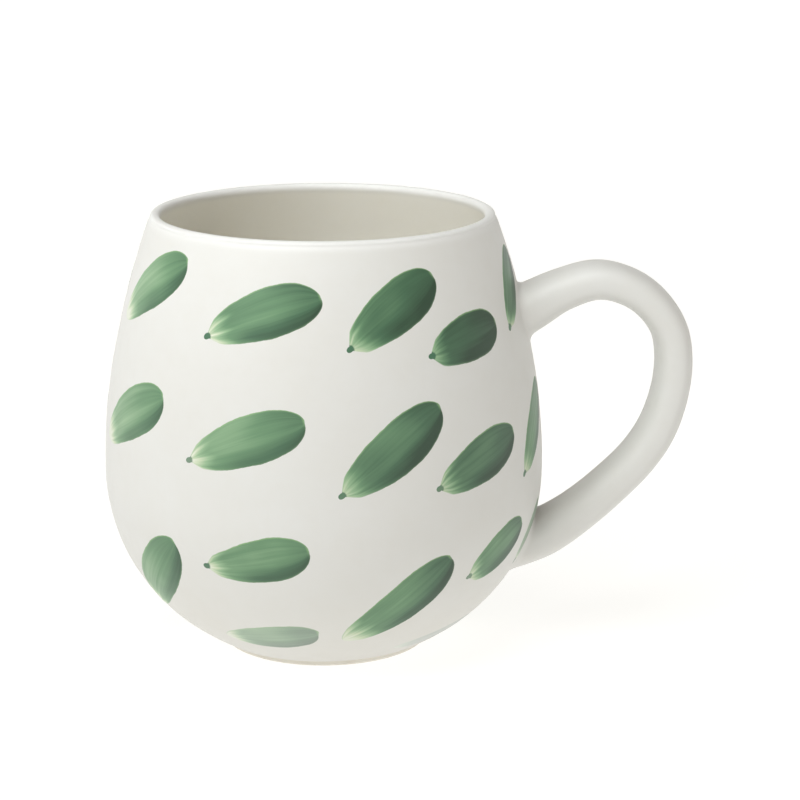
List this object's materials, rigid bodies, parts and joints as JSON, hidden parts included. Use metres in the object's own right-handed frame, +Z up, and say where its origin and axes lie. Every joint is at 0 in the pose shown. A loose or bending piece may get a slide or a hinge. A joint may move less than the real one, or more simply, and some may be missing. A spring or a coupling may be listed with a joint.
{
  "type": "mug",
  "caption": "Pot-bellied stoneware mug with a pulled loop handle, a thin rounded lip and green brush-painted leaves on an off-white satin glaze.",
  "frame": {"origin": "centre of the foot ring's standing face, on the body's axis", "axes": "+Z up along the body's axis, +X towards the handle, which lies in the XZ plane"},
  "size_m": [0.1275, 0.095, 0.095],
  "materials": {
    "bare_clay": "unglazed",
    "outer_glaze": "satin",
    "liner_glaze": "satin",
    "leaf_paint": "satin"
  },
  "bodies": {
    "root": {"stoneware_body": "bare_clay", "handle": "bare_clay", "upper_lute": "outer_glaze", "lower_lute": "outer_glaze", "outer_glaze": "outer_glaze", "liner_glaze": "liner_glaze", "handle_glaze": "outer_glaze", "leaf_rim_1": "leaf_paint", "leaf_rim_2": "leaf_paint", "leaf_rim_3": "leaf_paint", "leaf_rim_4": "leaf_paint", "leaf_rim_5": "leaf_paint", "leaf_rim_6": "leaf_paint", "leaf_rim_7": "leaf_paint", "leaf_rim_8": "leaf_paint", "leaf_rim_9": "leaf_paint", "leaf_rim_10": "leaf_paint", "leaf_belly_1": "leaf_paint", "leaf_belly_2": "leaf_paint", "leaf_belly_3": "leaf_paint", "leaf_belly_4": "leaf_paint", "leaf_belly_5": "leaf_paint", "leaf_belly_6": "leaf_paint", "leaf_belly_7": "leaf_paint", "leaf_belly_8": "leaf_paint", "leaf_belly_9": "leaf_paint", "leaf_belly_10": "leaf_paint", "leaf_belly_11": "leaf_paint", "leaf_low_1": "leaf_paint", "leaf_low_2": "leaf_paint", "leaf_low_3": "leaf_paint", "leaf_low_4": "leaf_paint", "leaf_low_5": "leaf_paint", "leaf_low_6": "leaf_paint", "leaf_low_7": "leaf_paint", "leaf_low_8": "leaf_paint", "leaf_low_9": "leaf_paint", "leaf_low_10": "leaf_paint", "leaf_foot_1": "leaf_paint", "leaf_foot_2": "leaf_paint", "leaf_foot_3": "leaf_paint", "leaf_foot_4": "leaf_paint", "leaf_foot_5": "leaf_paint", "leaf_foot_6": "leaf_paint"}
  },
  "joints": []
}
